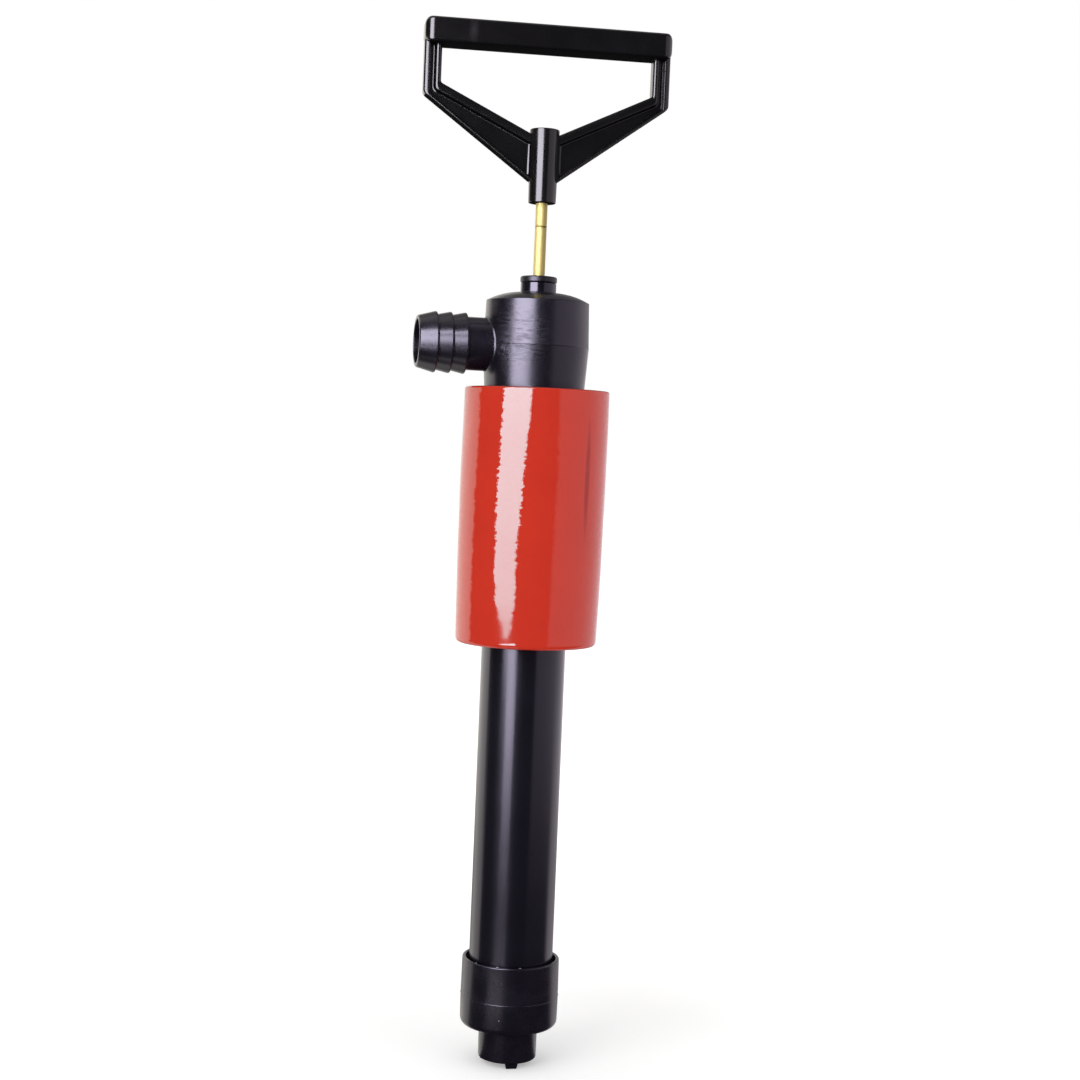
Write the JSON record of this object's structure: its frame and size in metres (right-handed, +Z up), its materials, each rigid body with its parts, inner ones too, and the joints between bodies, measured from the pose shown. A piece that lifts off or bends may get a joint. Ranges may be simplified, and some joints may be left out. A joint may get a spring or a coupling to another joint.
{
  "type": "piston hand pump",
  "caption": "Hand bilge pump: a long tube with a D handle on a sliding rod, a side hose barb, a foam float sleeve and an inlet foot that stands on lugs.",
  "frame": {"origin": "on the axis of the tube, in the plane of the lower faces of the stand-off lugs", "axes": "+Z up the tube to the handle, -X along the outlet barb, -Y towards the front of the picture"},
  "size_m": [0.1172, 0.0684, 0.4918],
  "materials": {
    "satin_black": "satin",
    "moulded_black": "satin",
    "float_foam": "gloss",
    "brass": "polished",
    "rubber": "matte",
    "white_plastic": "satin",
    "steel": "satin"
  },
  "bodies": {
    "barrel": {"pump_tube": "satin_black", "head_cap": "moulded_black", "outlet_barb": "moulded_black", "gland_nut": "satin_black", "gland_washer": "steel", "gland_packing": "rubber", "float_sleeve": "float_foam", "foot_cap": "moulded_black", "foot_valve_plate": "white_plastic", "foot_valve_stem": "white_plastic"},
    "foot_disc": {"foot_valve_disc": "rubber"},
    "piston": {"piston_body": "white_plastic", "piston_cup": "rubber", "piston_retainer": "steel"},
    "piston_disc": {"piston_valve_disc": "rubber"},
    "rod": {"piston_rod": "brass", "rod_nut": "brass", "rod_washer": "brass", "rod_clip": "steel", "stop_sleeve": "white_plastic", "stop_bumper": "rubber", "handle_frame": "moulded_black", "handle_grip": "satin_black"}
  },
  "joints": [
    {"name": "pump_stroke", "type": "slide", "parent": "barrel", "child": "piston", "axis": [0, 0, 1], "range_m": [-0.0341, 0.235]},
    {"name": "handle_turn", "type": "hinge", "parent": "piston", "child": "rod", "pos_m": [0, 0, 0.09], "axis": [0, 0, 1], "continuous": true},
    {"name": "foot_valve_lift", "type": "slide", "parent": "barrel", "child": "foot_disc", "axis": [0, 0, 1], "range_m": [0, 0.004]},
    {"name": "piston_valve_lift", "type": "slide", "parent": "piston", "child": "piston_disc", "axis": [0, 0, 1], "range_m": [0, 0.003]}
  ]
}
